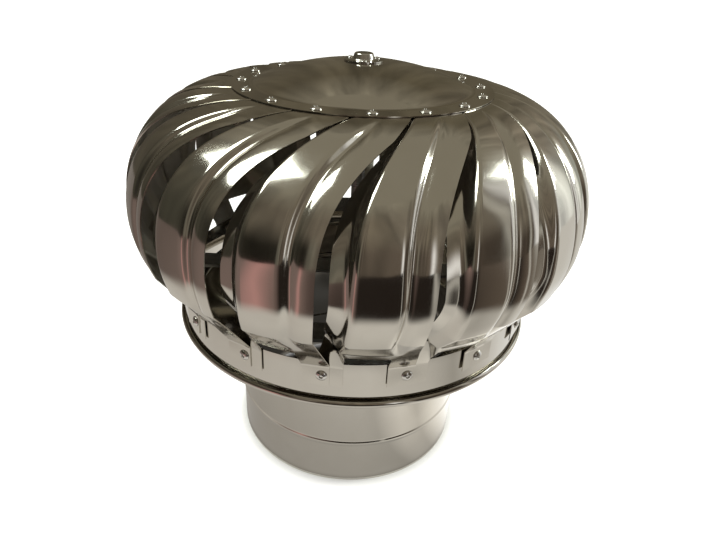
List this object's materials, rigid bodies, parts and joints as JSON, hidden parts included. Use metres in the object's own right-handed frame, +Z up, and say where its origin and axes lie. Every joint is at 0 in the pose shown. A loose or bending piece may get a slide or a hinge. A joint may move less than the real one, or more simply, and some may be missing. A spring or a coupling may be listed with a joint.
{
  "type": "turbine roof vent",
  "caption": "Wind-driven roof vent: a ball of twisted, embossed vanes on a ring spins on a fixed shaft above a round flue neck.",
  "frame": {"origin": "centre of the neck's lower edge, on the turning axis", "axes": "+Z up along the shaft, -Y towards the front of the picture, +X to its right"},
  "size_m": [0.2698, 0.2698, 0.2521],
  "materials": {
    "vane_steel": "mirror polished",
    "ring_steel": "mirror polished",
    "plate_steel": "mirror polished",
    "neck_steel": "mirror polished",
    "cap_steel": "bright",
    "rivet_steel": "bright",
    "bridge_steel": "mill finish",
    "shaft_steel": "ground",
    "bearing_steel": "ground",
    "spring_steel": "dark, oiled",
    "zinc_hardware": "zinc plated",
    "bush_bronze": "sintered, oiled"
  },
  "bodies": {
    "base": {"neck_collar": "neck_steel", "neck_bridge": "bridge_steel", "shaft": "shaft_steel", "shaft_washer": "zinc_hardware", "shaft_nut": "zinc_hardware", "shaft_clip": "spring_steel", "lower_bearing_inner_ring": "bearing_steel"},
    "rotor": {"base_ring": "ring_steel", "top_plate": "plate_steel", "vane_01": "vane_steel", "vane_02": "vane_steel", "vane_03": "vane_steel", "vane_04": "vane_steel", "vane_05": "vane_steel", "vane_06": "vane_steel", "vane_07": "vane_steel", "vane_08": "vane_steel", "vane_09": "vane_steel", "vane_10": "vane_steel", "vane_11": "vane_steel", "vane_12": "vane_steel", "vane_13": "vane_steel", "vane_14": "vane_steel", "vane_15": "vane_steel", "vane_16": "vane_steel", "bearing_cap": "cap_steel", "top_bush": "bush_bronze", "cap_rivets": "rivet_steel", "rotor_bridge": "bridge_steel", "lower_bearing_outer_ring": "bearing_steel", "vane_top_rivets": "rivet_steel", "vane_foot_rivets": "rivet_steel"}
  },
  "joints": [
    {"name": "rotor_spin", "type": "hinge", "parent": "base", "child": "rotor", "pos_m": [0, 0, 0.1], "axis": [0, 0, 1], "continuous": true}
  ]
}
